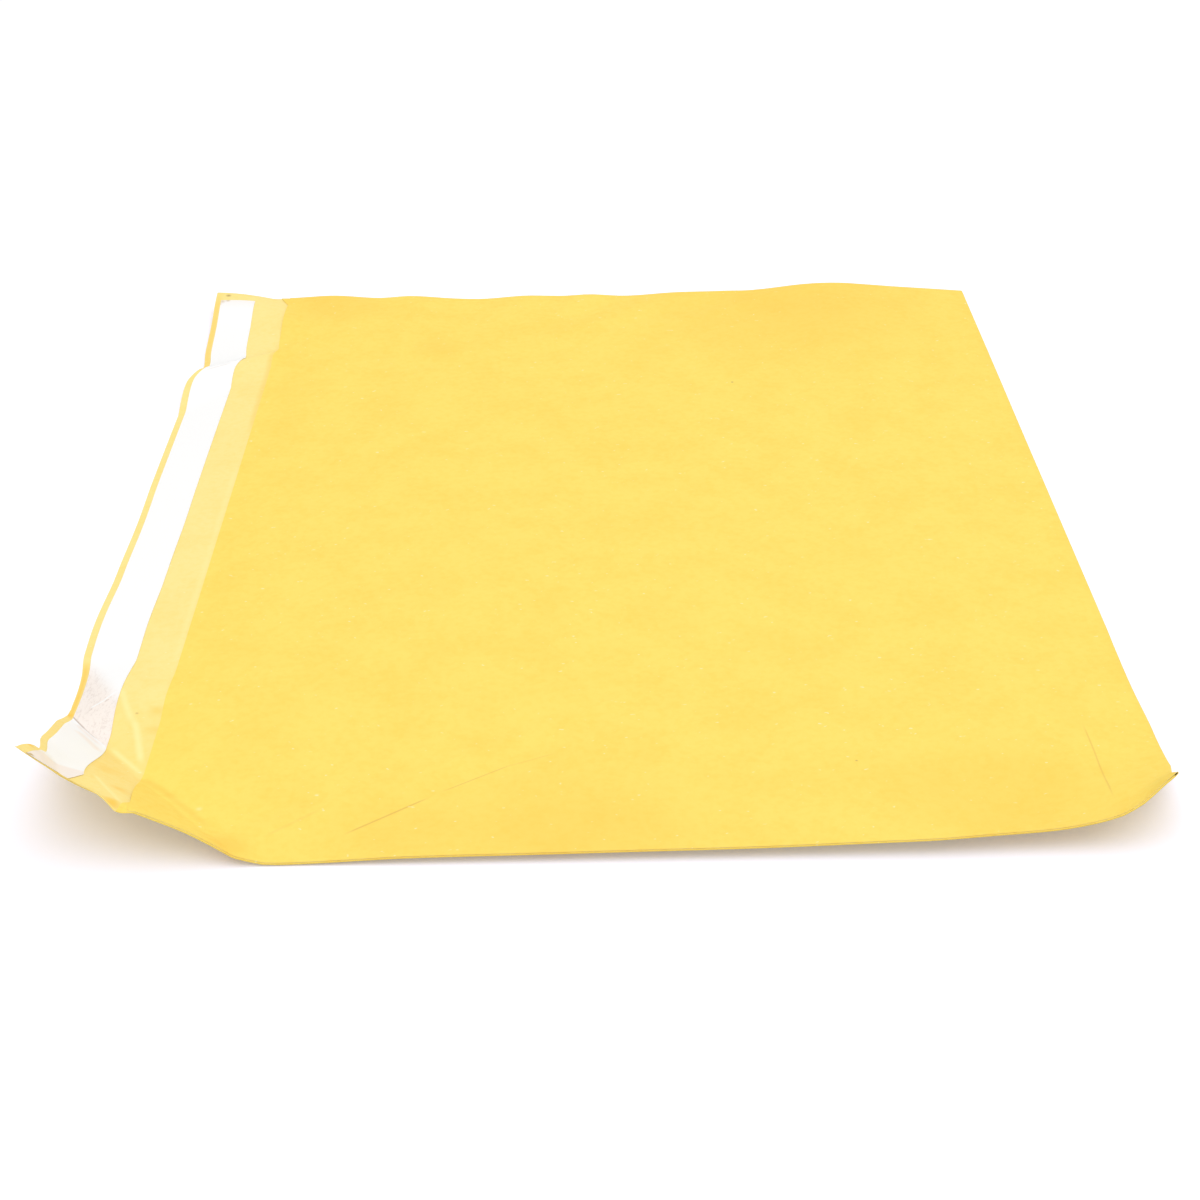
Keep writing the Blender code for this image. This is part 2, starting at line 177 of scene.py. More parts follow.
RIDGE_APEX_IN = 0.014
RIDGE_APEX_FAR = 0.034
RIDGE = [
    (0.092, 0.0000, 0.0000),
    (0.079, -0.0006, 0.0014),
    (0.071, -0.0004, 0.0022),
    (0.066, 0.0008, 0.0026),
    (0.062, 0.0021, 0.0025),
    (0.057, 0.0026, 0.0010),
    (0.044, 0.0012, 0.0006),
    (0.024, 0.0003, 0.0016),
    (0.002, 0.0000, 0.0038),
    (-0.014, 0.0000, 0.0031),
    (-0.041, 0.0000, 0.0000),
]

# Dents at the crumpled corner: where, how far round, and how far the paper moves
DENTS = [
    (-0.0238, 0.0690, 0.0200, 0.0020, 0.0000, -0.0008),
    (-0.0238, 0.0380, 0.0180, 0.0006, 0.0000, 0.0006),
    (-0.0238, 0.0170, 0.0120, 0.0016, 0.0000, -0.0003),
    (-0.0238, 0.0098, 0.0072, 0.0000, 0.0000, 0.0027),
    (-0.0238, 0.0021, 0.0080, -0.0024, 0.0000, 0.0017),
    (-0.0165, 0.0060, 0.0155, 0.0000, 0.0000, -0.0015),
    (-0.0125, 0.0690, 0.0180, -0.0015, 0.0000, 0.0013),
    (-0.0106, 0.0210, 0.0190, -0.0014, 0.0000, 0.0003),
    (-0.0034, -0.0015, 0.0060, 0.0000, 0.0000, -0.0029),
]

# Slight waves of the free edges, which the solids leave out
EDGE_DENTS = [
    (-0.0238, 0.1050, 0.0240, -0.0007, 0.0000, 0.0000),
    (-0.0238, 0.1600, 0.0260, 0.0003, 0.0000, 0.0000),
    (-0.0238, 0.3219, 0.0300, -0.0005, 0.0000, 0.0000),
    (0.2290, 0.0600, 0.0320, -0.0006, 0.0000, 0.0000),
    (0.2290, 0.0220, 0.0300, -0.0007, 0.0000, 0.0000),
    (0.2245, 0.0000, 0.0080, 0.0000, 0.0000, -0.0007),
    (0.2290, 0.0000, 0.0050, 0.0011, 0.0000, 0.0000),
]

# Small unevenness of paper that has been handled, and how far the back panel is pressed down
SWELL_HEIGHT = 0.0003
SWELL_SIZE = 0.055
POCKET_AIR = 0.0004
PRESSED_AT_SEAM = 0.00007
PRESSED_AT_MOUTH = 0.00033
MOUTH_PRESS_REACH = 0.020

# Marks on the outside of the paper, at places on the flat sheet: lines have a start, an end, a width and a
# strength, and spots a centre, a radius and a strength
OUTSIDE_TINTS = [
    ((0.0000, 0.0330), (0.0090, 0.0240), 0.0022, 0.50),
    ((0.0053, 0.0276), (0.0185, 0.0120), 0.0018, 0.40),
    ((0.0224, 0.0043), 0.0080, 0.60),
    ((0.0971, 0.0060), 0.0400, 0.40),
    ((0.0600, 0.0100), 0.0250, 0.25),
    ((0.1893, 0.0161), 0.0350, 0.35),
    # Painted shade where the back panel's far edge bends up.
    ((0.1700, 0.3100), 0.0700, 0.45),
    ((0.0150, 0.3180), 0.0260, 0.40),
    ((0.0517, 0.2808), 0.0120, 0.30),
]
OUTSIDE_PALE = [
    ((0.0147, 0.0205), 0.0012, 0.35),
    ((0.0400, 0.0250), 0.0008, 0.35),
]
OUTSIDE_SCRATCHES = [
    ((0.0468, 0.0096), (0.0657, 0.0239), 0.00045, 0.60),
    ((0.0670, 0.0250), (0.0836, 0.0361), 0.00035, 0.42),
    ((0.0815, 0.0347), (0.0929, 0.0397), 0.00035, 0.22),
    ((0.0300, 0.0083), (0.0420, 0.0190), 0.00080, 0.12),
    ((0.2133, 0.0470), (0.2136, 0.0080), 0.00040, 0.42),
]
OUTSIDE_SPECKS = [
    ((0.1458, 0.2487), 0.0007, 1.0),
    ((0.1599, 0.0319), 0.0005, 0.80),
]

# Marks on the inside of the flap
INSIDE_TINTS = [
    ((-0.0230, 0.0870), (-0.0230, 0.0560), 0.0016, 0.75),
    # Painted shade on the flap's margin beyond the ridge, where it faces away from the light.
    ((-0.0230, 0.3240), (-0.0230, 0.2580), 0.0020, 0.45),
    ((-0.0231, 0.0611), 0.0018, 1.0),
    ((-0.0236, 0.0092), 0.0014, 0.90),
    ((-0.0090, 0.0400), 0.0330, 0.25),
    ((-0.0070, 0.0287), 0.0050, 0.35),
    ((-0.0024, 0.0162), 0.0036, 0.50),
    ((-0.0034, 0.0030), 0.0034, 0.95),
    ((-0.0012, 0.0617), 0.0030, 0.40),
    ((-0.0010, 0.0540), 0.0030, 0.40),
    ((-0.0004, 0.2900), (-0.0004, 0.2150), 0.0018, 0.40),
]
# Painted highlights along the creases of the crumpled corner and along the mouth edge.
INSIDE_PAINTED_HIGHLIGHTS = [
    ((-0.0108, 0.0720), (-0.0060, 0.0570), 0.0014, 0.70),
    ((-0.0064, 0.0600), (-0.0012, 0.0390), 0.0014, 0.80),
    ((-0.0100, 0.0470), (0.0000, 0.0345), 0.0014, 0.70),
    ((-0.0086, 0.0205), (-0.0012, 0.0030), 0.0012, 0.80),
    ((-0.0010, 0.2100), (-0.0010, 0.0700), 0.0014, 0.35),
]
INSIDE_SPECKS = [
    ((-0.0054, 0.0606), 0.0006, 0.60),
    ((-0.0198, 0.3198), 0.0013, 1.0),
]

# Marks on the release liner: dirt, scratches and specks, and painted shade in its creases, in the slit at the
# torn corner, on the facet between the creases and on the strip beyond the tip fold
CREASE_LINE = ((-0.0222, 0.0602), (-0.0134, 0.0497))
SCUFF_AND_SHADE_END = ((-0.0192, 0.0790), (-0.0119, 0.0680))
TIP_LINE = ((-0.0217, 0.0115), (-0.0105, 0.0175))
LINER_TINTS = [
    ((-0.0205, 0.0565), (-0.0118, 0.0455), 0.0016, 0.60),
    ((-0.0190, 0.0500), (-0.0112, 0.0385), 0.0022, 0.60),
]
# Crease lines: scored marks, darkened partly with painted shade in the creases.
LINER_CREASES_AND_SHADE = [
    ((-0.0236, 0.0619), (-0.0168, 0.0538), 0.00050, 1.0),
    ((-0.0190, 0.0564), (-0.0134, 0.0497), 0.00035, 0.60),
    ((-0.0142, 0.0653), (-0.0130, 0.0665), 0.00040, 0.60),
    ((-0.0180, 0.0622), (-0.0172, 0.0630), 0.00040, 0.50),
    ((-0.0205, 0.2612), (-0.0131, 0.2679), 0.00050, 0.25),
]
LINER_SCRATCHES = [
    ((-0.0180, 0.0632), (-0.0140, 0.0663), 0.00045, 0.90),
    ((-0.0148, 0.0657), (-0.0115, 0.0700), 0.00045, 0.90),
]
LINER_SPECKS_AND_SLIT_SHADE = [
    # The first line is painted shade in the slit at the torn corner; the spots are specks.
    ((-0.0219, 0.0020), (-0.0212, 0.0058), 0.00060, 0.90),
    ((-0.0214, 0.3155), 0.0016, 0.50),
    ((-0.0195, 0.3160), 0.0012, 0.60),
    ((-0.0222, 0.3138), 0.0012, 0.35),
]

# The camera, fitted to the photograph's 1200 pixel frame, from the sheet's near mouth corner
PHOTO_PIXELS = 1200
CAMERA_FOCAL_PIXELS = 2168.8
CAMERA_PLACE = Vector((0.1027, -0.3727, 0.2709))
CAMERA_DIP = math.radians(29.16)
CAMERA_YAW = math.radians(-0.08)
CAMERA_ROLL = math.radians(-0.97)
SENSOR_WIDTH = 36.0


def cut_faces(bm, faces, point, normal):
    """Cuts faces along a straight line seen from above, and returns them with the new ones."""
    edges = {e for f in faces for e in f.edges}
    verts = {v for f in faces for v in f.verts}
    geom = list(verts) + list(edges) + faces
    cut = bmesh.ops.bisect_plane(bm, geom=geom, plane_co=point, plane_no=normal, dist=SAME_POINT)
    return [item for item in cut["geom"] if isinstance(item, bmesh.types.BMFace)]


def cut_grid(bm, faces, axis, places):
    """Cuts faces along parallel lines, the middle one first, so that each face meets few of them."""
    if not places or not faces:
        return
    middle = len(places) // 2
    faces = cut_faces(bm, faces, axis * places[middle], axis)
    low = [f for f in faces if f.calc_center_median().dot(axis) < places[middle]]
    high = [f for f in faces if f.calc_center_median().dot(axis) > places[middle]]
    cut_grid(bm, low, axis, places[:middle])
    cut_grid(bm, high, axis, places[middle + 1 :])


class Bend:
    """A cylindrical bend: paper beyond a line turns up round an arc, and runs on straight after it."""

    def __init__(self, start, normal, radius, angle, steps, neutral=0.0):
        self.start = Vector((start[0], start[1], 0.0))
        self.normal = Vector((normal[0], normal[1], 0.0)).normalized()
        self.radius = radius
        self.angle = angle
        self.steps = steps
        self.neutral = neutral

    def cut(self, bm):
        """Cuts the paper where it turns. A bend of no steps is soft enough for the mesh as it is."""
        for step in range(self.steps + 1 if self.steps else 0):
            point = self.start + self.normal * (self.radius * self.angle * step / self.steps)
            level = point.dot(self.normal)
            sides = [(f, [v.co.dot(self.normal) - level for v in f.verts]) for f in bm.faces]
            crossed = [f for f, runs in sides if min(runs) < -SAME_POINT and max(runs) > SAME_POINT]
            cut_faces(bm, crossed, point, self.normal)

    def moved(self, place):
        run = (place - self.start).dot(self.normal)
        if run <= 0:
            return place
        turn = min(run / self.radius, self.angle)
        straight = run - turn * self.radius
        arm = self.neutral + self.radius - place.z
        along = arm * math.sin(turn) + straight * math.cos(turn)
        height = self.neutral + self.radius - arm * math.cos(turn) + straight * math.sin(turn)
        return place + self.normal * (along - run) + UP * (height - place.z)

    def apply(self, bm):
        for v in bm.verts:
            v.co = self.moved(v.co)


def bend_across(first, second, towards, radius, angle, steps=0):
    """A bend whose line runs through two points, and which lifts the side where the third point is."""
    line = Vector(second) - Vector(first)
    normal = Vector((line.y, -line.x))
    if normal.dot(Vector(towards) - Vector(first)) < 0:
        normal = -normal
    return Bend(first, normal, radius, angle, steps)


def smooth_between(rows, place):
    """The vector at a place, on a smooth curve through rows of (place, vector)."""
    if place <= rows[0][0]:
        return rows[0][1]
    if place >= rows[-1][0]:
        return rows[-1][1]
    last = len(rows) - 1
    i = max(k for k in range(last) if rows[k][0] <= place)
    start, end = rows[i], rows[i + 1]
    before, after = rows[max(i - 1, 0)], rows[min(i + 2, last)]
    span = end[0] - start[0]
    slope_in = (end[1] - before[1]) * (span / (end[0] - before[0]))
    slope_out = (after[1] - start[1]) * (span / (after[0] - start[0]))
    t = (place - start[0]) / span
    square, cube = t * t, t * t * t
    ends = start[1] * (2 * cube - 3 * square + 1) + end[1] * (3 * square - 2 * cube)
    return ends + slope_in * (cube - 2 * square + t) + slope_out * (cube - square)


class Cone:
    """Paper lifted as a wrinkled cone: flat at its apex, and moved most along a rim."""

    def __init__(self, apex, outward, reach, rim):
        self.apex = Vector((apex[0], apex[1], 0.0))
        self.outward = Vector((outward[0], outward[1], 0.0))
        self.along = Vector((abs(outward[1]), abs(outward[0]), 0.0))
        self.reach = reach
        self.rim = sorted(rim, key=lambda row: row[0])

    def cut(self, bm):
        """The mesh is fine enough for a cone as it is."""

    def moved(self, place):
        depth = (place - self.apex).dot(self.outward)
        if depth <= 0:
            return place
        share = depth / self.reach
        hit = self.apex.dot(self.along) + (place - self.apex).dot(self.along) / share
        return place + share * smooth_between(self.rim, hit)

    def apply(self, bm):
        for v in bm.verts:
            v.co = self.moved(v.co)


def dented(place):
    """How far the paper moves that was at a place on the flat sheet: soft dents at the crumpled corner."""
    total = Vector()
    for x, y, reach, *push in DENTS + EDGE_DENTS:
        share = math.hypot(place.x - x, place.y - y) / reach
        if share < 1:
            total += Vector(push) * (1 - share * share) ** 2
    return total


def far_wave():
    crest = POCKET_WIDTH - FAR_WAVE_CREST
    rim = [
        (crest - 1.6 * FAR_WAVE_RUN, Vector()),
        (crest - FAR_WAVE_RUN, Vector()),
        (crest - FAR_WAVE_RUN / 2, UP * FAR_WAVE_HEIGHT * 0.5),
        (crest, UP * FAR_WAVE_HEIGHT),
        (crest + FAR_WAVE_CREST / 2, UP * FAR_WAVE_HEIGHT * 0.52),
        (POCKET_WIDTH, Vector()),
    ]
    return Cone((crest, POCKET_DEPTH - FAR_WAVE_REACH), (0, 1), FAR_WAVE_REACH, rim)


def far_ripple():
    rim = [(place, UP * height) for place, height in FAR_RIPPLE]
    return Cone((FAR_RIPPLE_APEX, POCKET_DEPTH - FAR_RIPPLE_REACH), (0, 1), FAR_RIPPLE_REACH, rim)


def near_lift():
    rim = [(place, UP * height) for place, height in NEAR_LIFT]
    return Cone((NEAR_LIFT_APEX, NEAR_LIFT_REACH), (0, -1), NEAR_LIFT_REACH, rim)


def flap_ridge():
    rim = [(POCKET_DEPTH - back, Vector((drawn, 0, up))) for back, drawn, up in RIDGE]
    reach = RIDGE_APEX_IN + FLAP_LENGTH
    return Cone((RIDGE_APEX_IN, POCKET_DEPTH - RIDGE_APEX_FAR), (-1, 0), reach, rim)


def tip_fold():
    outer = (-FLAP_LENGTH, FLAP_SIDE_STEP + TIP_FOLD_OUTER)
    side = (-FLAP_LENGTH + TIP_FOLD_SIDE, FLAP_SIDE_STEP)
    tip = (-FLAP_LENGTH, FLAP_SIDE_STEP)
    return bend_across(outer, side, tip, TIP_FOLD_RADIUS, TIP_FOLD_ANGLE, CREASE_STEPS)


def mouth_corner_bend(near, flap, radius, angle, steps=0):
    return bend_across((near, 0), (-FLAP_LENGTH, flap), (-FLAP_LENGTH, 0), radius, angle, steps)


def bottom_corner_bend(near, side, radius, angle):
    first = (POCKET_WIDTH - near, 0)
    return bend_across(first, (POCKET_WIDTH, side), (POCKET_WIDTH, 0), radius, angle)


def as_laid():
    """Everything that bends the envelope, in the order in which it is applied: outer bends come first."""
    return [
        far_wave(),
        far_ripple(),
        near_lift(),
        flap_ridge(),
        tip_fold(),
        mouth_corner_bend(
            MOUTH_CREASE_NEAR, MOUTH_CREASE_FLAP, MOUTH_CREASE_RADIUS, MOUTH_CREASE_ANGLE, CREASE_STEPS
        ),
        mouth_corner_bend(MOUTH_RISE_NEAR, MOUTH_RISE_FLAP, MOUTH_RISE_RADIUS, MOUTH_RISE_ANGLE),
        bottom_corner_bend(CURL_TIGHT_NEAR, CURL_TIGHT_SIDE, CURL_TIGHT_RADIUS, CURL_TIGHT_ANGLE),
        bottom_corner_bend(CURL_SOFT_NEAR, CURL_SOFT_SIDE, CURL_SOFT_RADIUS, CURL_SOFT_ANGLE),
    ]


def swell(place):
    """The slight unevenness of the whole envelope, never below the table."""
    rise = noise.noise(Vector((place.x, place.y, 0.0)) / SWELL_SIZE)
    return SWELL_HEIGHT * (0.5 + 0.5 * rise)


def smooth(part):
    """0 below 0 and 1 above 1, with a soft rise between."""
    part = min(max(part, 0.0), 1.0)
    return part * part * (3 - 2 * part)


def pocket_air(place):
    """How far the back panel stands off, or is pressed down at its seams and along the mouth."""
    side = min(place.y, POCKET_DEPTH - place.y) / (2 * TAB_WIDTH)
    end = (POCKET_WIDTH - place.x) / (2 * TAB_WIDTH)
    room = smooth(min(side, end))
    inside = smooth(2 * side - 1)
    mouth = (1 - smooth(place.x / MOUTH_PRESS_REACH)) * inside
    lump = 0.5 + 0.5 * noise.noise(Vector((place.x, place.y, 3.0)) / SWELL_SIZE)
    stand = POCKET_AIR * room * lump - PRESSED_AT_SEAM * (1 - room)
    return stand * (1 - mouth) - PRESSED_AT_MOUTH * mouth


def lay_down(bm):
    """Bends a flat piece as the envelope lies, and keeps where each point was on the flat sheet."""
    shapes = as_laid()
    for shape in shapes:
        shape.cut(bm)
    for edge in bm.edges:
        edge.smooth = edge.calc_face_angle(0.0) < SHARP_ANGLE
    sheet = bm.verts.layers.float_vector.new("sheet")
    for v in bm.verts:
        v[sheet] = v.co
        lift = swell(v.co)
        if v.co.z > BACK_UNDERSIDE - SAME_POINT and v.co.x > 0:
            lift += pocket_air(v.co)
        v.co.z += lift
    for shape in shapes:
        shape.apply(bm)
    for v in bm.verts:
        v.co += dented(v[sheet])
    bmesh.ops.translate(bm, verts=bm.verts, vec=-CENTRE)


def plate(outline, bottom, thickness):
    """A flat closed plate with the given outline seen from above."""
    bm = bmesh.new()
    corners = [bm.verts.new((x, y, bottom)) for x, y in outline]
    base = bm.faces.new(corners)
    lid = bmesh.ops.extrude_face_region(bm, geom=[base])
    raised = [v for v in lid["geom"] if isinstance(v, bmesh.types.BMVert)]
    bmesh.ops.translate(bm, verts=raised, vec=UP * thickness)
    bmesh.ops.recalc_face_normals(bm, faces=bm.faces)
    return bm


def stations(first, last, pitch):
    """Places between two ends, about a pitch apart, without the ends themselves."""
    count = max(round((last - first) / pitch), 1)
    return [first + (last - first) * i / count for i in range(1, count)]


def near_half_of_blank():
    """The blank's outline below its middle line, from the flap to the free end of the back panel."""
    tab_fold = math.pi * SIDE_FOLD_RADIUS
    tab_root = SIDE_FOLD_START
    tab_end = tab_root - tab_fold - TAB_WIDTH
    tab_last = BOTTOM_FOLD_START - TAB_BOTTOM_GAP
    back_start = BOTTOM_FOLD_START + math.pi * BOTTOM_FOLD_RADIUS
    back_end = back_start + BOTTOM_FOLD_START
    return [
        (-FLAP_LENGTH, FLAP_SIDE_STEP),
        (-FLAP_STEP_END - FLAP_STEP_RUN, FLAP_SIDE_STEP),
        (-FLAP_STEP_END - FLAP_STEP_RUN / 3, FLAP_SIDE_STEP / 2),
        (-FLAP_STEP_END, tab_root),
        (-FLAP_STEP_END + TAB_MOUTH_GAP, tab_root),
        (-FLAP_STEP_END + TAB_MOUTH_GAP, tab_root - tab_fold),
        (-FLAP_STEP_END + TAB_MOUTH_GAP + TAB_SLOPE, tab_end),
        (tab_last - TAB_SLOPE, tab_end),
        (tab_last, tab_root - tab_fold),
        (tab_last, tab_root),
        (BOTTOM_FOLD_START, BACK_SIDE_STEP),
        (back_start, BACK_SIDE_STEP),
        (back_end, BACK_SIDE_STEP),
    ]


def grid_the_blank(bm):
    """Cuts the blank into small cells, finer where the paper is crumpled."""
    back_end = 2 * BOTTOM_FOLD_START + math.pi * BOTTOM_FOLD_RADIUS
    columns = stations(-FLAP_LENGTH, FINE_MOUTH_REACH, FINE_PITCH) + [FINE_MOUTH_REACH]
    columns += stations(FINE_MOUTH_REACH, BOTTOM_FOLD_START, COARSE_PITCH)
    columns += [back_end - x for x in reversed(columns) if x > 0]
    ridge_start, ridge_end = POCKET_DEPTH - FINE_RIDGE[1], POCKET_DEPTH - FINE_RIDGE[0]
    rows = stations(-TAB_WIDTH, FINE_NEAR_REACH, FINE_PITCH) + [FINE_NEAR_REACH]
    rows += stations(FINE_NEAR_REACH, ridge_start, COARSE_PITCH) + [ridge_start]
    rows += stations(ridge_start, ridge_end, FINE_PITCH) + [ridge_end]
    rows += stations(ridge_end, POCKET_DEPTH, COARSE_PITCH) + [POCKET_DEPTH + TAB_WIDTH / 2]
    cut_grid(bm, list(bm.faces), ALONG, columns)
    cut_grid(bm, list(bm.faces), ACROSS, rows)


def die_cut_blank():
    near = near_half_of_blank()
    far = [(x, POCKET_DEPTH - y) for x, y in reversed(near)]
    return plate(near + far, 0.0, PAPER)


def fold_side_tabs(bm):
    for start, outward in ((SIDE_FOLD_START, -1), (POCKET_DEPTH - SIDE_FOLD_START, 1)):
        fold = Bend((0, start), (0, outward), SIDE_FOLD_RADIUS, math.pi, FOLD_STEPS, PAPER / 2)
        fold.cut(bm)
        fold.apply(bm)


def fold_back_panel(bm):
    start = (BOTTOM_FOLD_START, 0)
    fold = Bend(start, (1, 0), BOTTOM_FOLD_RADIUS, math.pi, FOLD_STEPS, PAPER / 2)
    fold.cut(bm)
    fold.apply(bm)


def mark_faces_of_blank(bm):
    """Material 0 is the golden outside of the paper, 1 its paler inside and 2 its cut edge."""
    for face in bm.faces:
        face.smooth = True
        if face.normal.z > 0.5:
            face.material_index = 1
        elif face.normal.z > -0.5:
            face.material_index = 2
            face.smooth = False


def add_piece(name, bm, materials):
    mesh = bpy.data.meshes.new(name)
    bm.to_mesh(mesh)
    bm.free()
    for material in materials:
        mesh.materials.append(material)
    piece = bpy.data.objects.new(name, mesh)
    bpy.context.scene.collection.objects.link(piece)
    return piece


def place_piece(piece, node):
    """The piece rides on the one body, and stands for its CAD node."""
    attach(piece, "root")
    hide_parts(node)


def strip_sides(width):
    """The two long sides of a strip along the flap. Both strips have one middle line."""
    middle = -FLAP_LENGTH + LINER_EDGE_GAP + LINER_WIDTH / 2
    return middle - width / 2, middle + width / 2


def flat_strip(outline, bottom, thickness):
    """A strip of paper or adhesive for the flap, still flat, from its outline on the blank."""
    bm = plate(outline, bottom, thickness)
    places = [Vector(corner) for corner in outline]
    columns = stations(min(p.x for p in places), max(p.x for p in places), STRIP_PITCH)
    rows = stations(min(p.y for p in places), max(p.y for p in places), STRIP_PITCH)
    cut_grid(bm, list(bm.faces), ALONG, columns)
    cut_grid(bm, list(bm.faces), ACROSS, rows)
    for face in bm.faces:
        face.smooth = abs(face.normal.z) > 0.5
    return bm


class Link:
    """A shader socket on which arithmetic adds the Math nodes that it needs."""

    def __init__(self, graph, socket):
        self.graph = graph
        self.socket = socket

    def math(self, operation, *others):
        return self.graph.math(operation, self, *others)

    def __add__(self, other):
        return self.math("ADD", other)

    def __rsub__(self, other):
        return self.graph.math("SUBTRACT", other, self)

    def __mul__(self, other):
        return self.math("MULTIPLY", other)

    __radd__ = __add__
    __rmul__ = __mul__


class Graph:
    """One material's nodes. A node takes its settings first, and then the values or links of its sockets."""

    def __init__(self, name):
        self.material = bpy.data.materials.new(name)
        self.material.use_nodes = True
        self.tree = self.material.node_tree
        self.tree.nodes.clear()

    def node(self, kind, settings=None, values=None):
        node = self.tree.nodes.new("ShaderNode" + kind)
        for name, value in (settings or {}).items():
            setattr(node, name, value)
        for name, value in (values or {}).items():
            socket = node.inputs[name]
            if isinstance(value, Link):
                self.tree.links.new(value.socket, socket)
            else:
                socket.default_value = value
        return node

    def link(self, node, output=0):
        return Link(self, node.outputs[output])

    def math(self, operation, *values):
        numbered = dict(enumerate(values))
        return self.link(self.node("Math", {"operation": operation}, numbered))

    def vector(self, operation, *values, output=0):
        numbered = dict(enumerate(values))
        return self.link(self.node("VectorMath", {"operation": operation}, numbered), output)

    def mix(self, factor, first, second):
        node = self.node("Mix", {"data_type": "RGBA"}, {0: factor, 6: first, 7: second})
        return self.link(node, 2)

    def noise(self, where, size, detail=2.0, roughness=0.5, stretch=(1.0, 1.0, 1.0)):
        """A noise with lumps of a size in metres, and its height from about 0 to 1."""
        scaled = self.vector("MULTIPLY", where, tuple(part / size for part in stretch))
        values = {"Vector": scaled, "Scale": 1.0, "Detail": detail, "Roughness": roughness}
        return self.link(self.node("TexNoise", {}, values))

    def ramp(self, value, low, high):
        """0 at low and 1 at high, smoothly."""
        settings = {"interpolation_type": "SMOOTHSTEP"}
        numbers = {"Value": value, "From Min": low, "From Max": high, "To Min": 0.0, "To Max": 1.0}
        return self.link(self.node("MapRange", settings, numbers))

    def spot(self, where, centre, radius):
        """1 at a place on the flat sheet, and 0 beyond a radius."""
        flat = self.vector("MULTIPLY", where, (1.0, 1.0, 0.0))
        apart = self.vector("DISTANCE", flat, (centre[0], centre[1], 0.0), output=1)
        return self.ramp(apart, radius, 0.0)

    def line(self, where, start, end, width):
        """1 on a straight line on the flat sheet, fading at its sides and its ends."""
        run = Vector((end[0] - start[0], end[1] - start[1], 0.0))
        length = run.length
        run.normalize()
        from_start = self.vector("SUBTRACT", where, (start[0], start[1], 0.0))
        along = self.vector("DOT_PRODUCT", from_start, tuple(run), output=1)
        across = self.vector("DOT_PRODUCT", from_start, (run.y, -run.x, 0.0), output=1)
        side = self.ramp(across.math("ABSOLUTE"), width, 0.0)
        fade = length / 5
        return side * self.ramp(along, 0.0, fade) * self.ramp(along, length, length - fade)

    def left_of(self, where, start, end, soft):
        """1 on the left of a line through two places on the flat sheet, and 0 on its right."""
        side = Vector((start[1] - end[1], end[0] - start[0], 0.0)).normalized()
        from_start = self.vector("SUBTRACT", where, (start[0], start[1], 0.0))
        across = self.vector("DOT_PRODUCT", from_start, tuple(side), output=1)
        return self.ramp(across, -soft / 2, soft / 2)

    def marks(self, where, colour, rows, tint):
        """Paints lines (start, end, width, strength) and spots (centre, radius, strength) over a colour."""
        for *places, size, strength in rows:
            shape = self.line if len(places) == 2 else self.spot
            colour = self.mix(shape(where, *places, size) * strength, colour, tint)
        return colour

    def finish(self, colour, roughness, height, bump, **fixed):
        """Ends the material in a Principled shader with a bump of a depth in metres."""
        normal = self.node("Bump", {}, {"Height": height, "Strength": 1.0, "Distance": bump})
        values = {"Base Color": colour, "Roughness": roughness, "Normal": self.link(normal)}
        values.update(fixed)
        shader = self.node("BsdfPrincipled", {}, values)
        self.node("OutputMaterial", {}, {"Surface": self.link(shader)})
        return self.material


def sheet_place(graph):
    """Where a point was on the flat sheet."""
    return graph.link(graph.node("Attribute", {"attribute_name": "sheet"}), "Vector")


def fibre_height(graph, where):
    """The paper's tooth: matted fibres, mostly along the web, and fine grain."""
    fibres = graph.noise(where, 0.0009, 3.0, 0.6, stretch=(1.0, 2.4, 1.0))
    grain = graph.noise(where, 0.00025, 2.0, 0.6)
    return fibres * 0.7 + grain * 0.3


def kraft_material(name, base, deep, marks):
    """Kraft paper: a base colour with cloudy formation, denser patches, pale fibre flecks and given marks."""
    colours = bpy.context.scene.envelope_colours
    graph = Graph(name)
    where = sheet_place(graph)
    cloud = graph.ramp(graph.noise(where, 0.016, 4.0, 0.6), 0.35, 0.70)
    mottle = graph.ramp(graph.noise(where, 0.0020, 3.0, 0.65), 0.38, 0.72)
    colour = graph.mix(cloud * 0.45 + mottle * 0.30, (*base, 1.0), (*deep, 1.0))
    colour = marks(graph, where, colour)
    fleck_noise = graph.noise(where, 0.0016, 1.0, 0.5, stretch=(1.0, 1.4, 1.0))
    flecks = graph.ramp(fleck_noise, 0.735, 0.80)
    colour = graph.mix(flecks * 0.55, colour, (*colours.kraft_pale, 1.0))
    roughness = 0.62 + 0.16 * mottle
    height = fibre_height(graph, where)
    return graph.finish(colour, roughness, height, 0.00005, **{"Specular IOR Level": 0.28})


def outside_marks(graph, where, colour):
    colours = bpy.context.scene.envelope_colours
    colour = graph.marks(where, colour, OUTSIDE_TINTS, (*colours.amber, 1.0))
    colour = graph.marks(where, colour, OUTSIDE_PALE, (*colours.kraft_pale, 1.0))
    colour = graph.marks(where, colour, OUTSIDE_SCRATCHES, (*colours.crease, 1.0))
    return graph.marks(where, colour, OUTSIDE_SPECKS, (*colours.smudge, 1.0))


def inside_marks(graph, where, colour):
    colours = bpy.context.scene.envelope_colours
    colour = graph.marks(where, colour, INSIDE_TINTS, (*colours.amber, 1.0))
    # Pale lines: painted highlights along the creases and the mouth edge.
    colour = graph.marks(where, colour, INSIDE_PAINTED_HIGHLIGHTS, (*colours.inside_highlight, 1.0))
    return graph.marks(where, colour, INSIDE_SPECKS, (*colours.smudge, 1.0))


